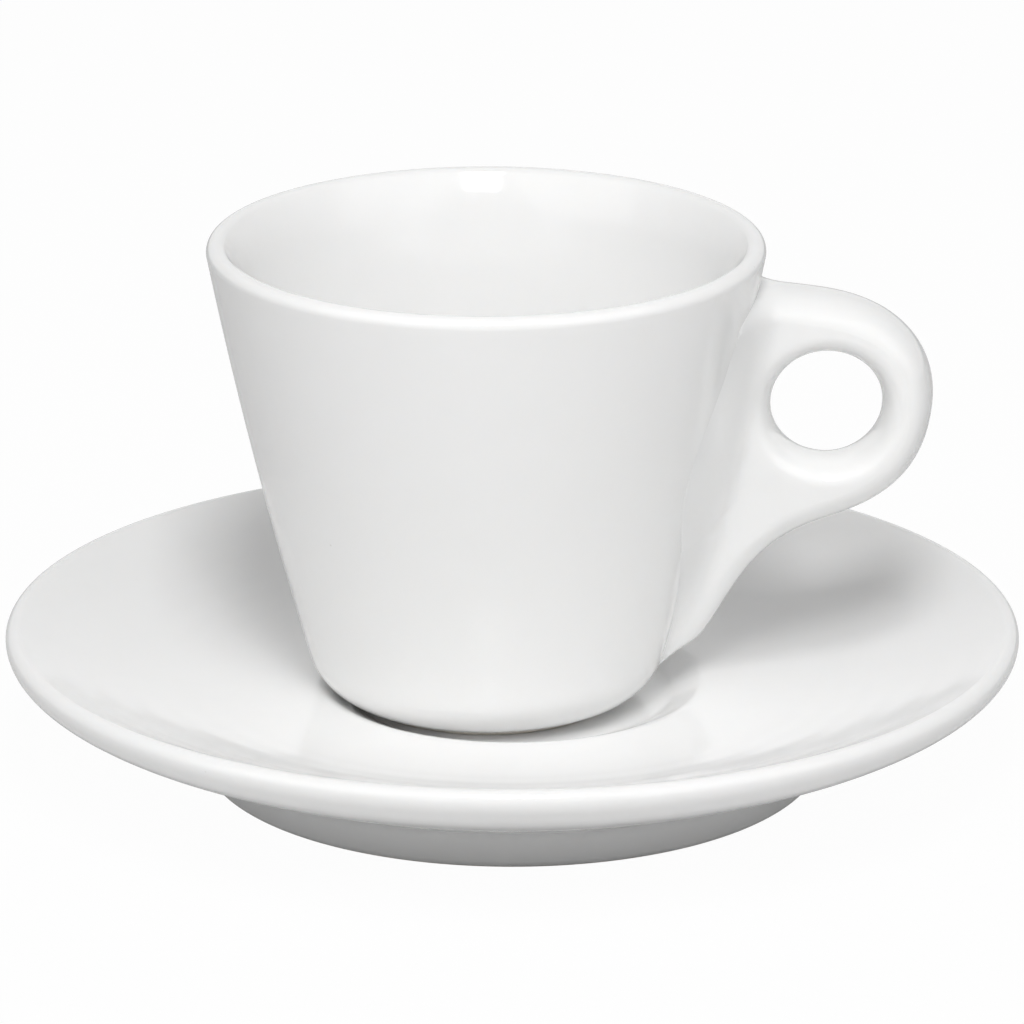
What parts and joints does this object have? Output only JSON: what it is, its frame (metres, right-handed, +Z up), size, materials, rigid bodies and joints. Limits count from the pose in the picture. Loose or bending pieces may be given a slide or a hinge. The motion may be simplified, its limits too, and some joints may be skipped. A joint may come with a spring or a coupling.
{
  "type": "espresso cup with saucer",
  "caption": "Tapered porcelain espresso cup with a round finger hole through its solid fin-shaped handle, standing in the well of a round saucer with a rounded rim.",
  "frame": {"origin": "on the table under the saucer's centre", "axes": "+Z up along the saucer's axis, +X towards the cup's handle, +Y away from the pictured side"},
  "size_m": [0.12, 0.12, 0.0649],
  "materials": {
    "glazed_porcelain": "glossy clear glaze over white porcelain"
  },
  "bodies": {
    "saucer": {"saucer": "glazed_porcelain"},
    "cup": {"cup_body": "glazed_porcelain", "cup_handle": "glazed_porcelain"}
  },
  "joints": [
    {"name": "cup_lift", "type": "slide", "parent": "saucer", "child": "cup", "axis": [0, 0, 1], "range_m": [0, 0.06]}
  ]
}
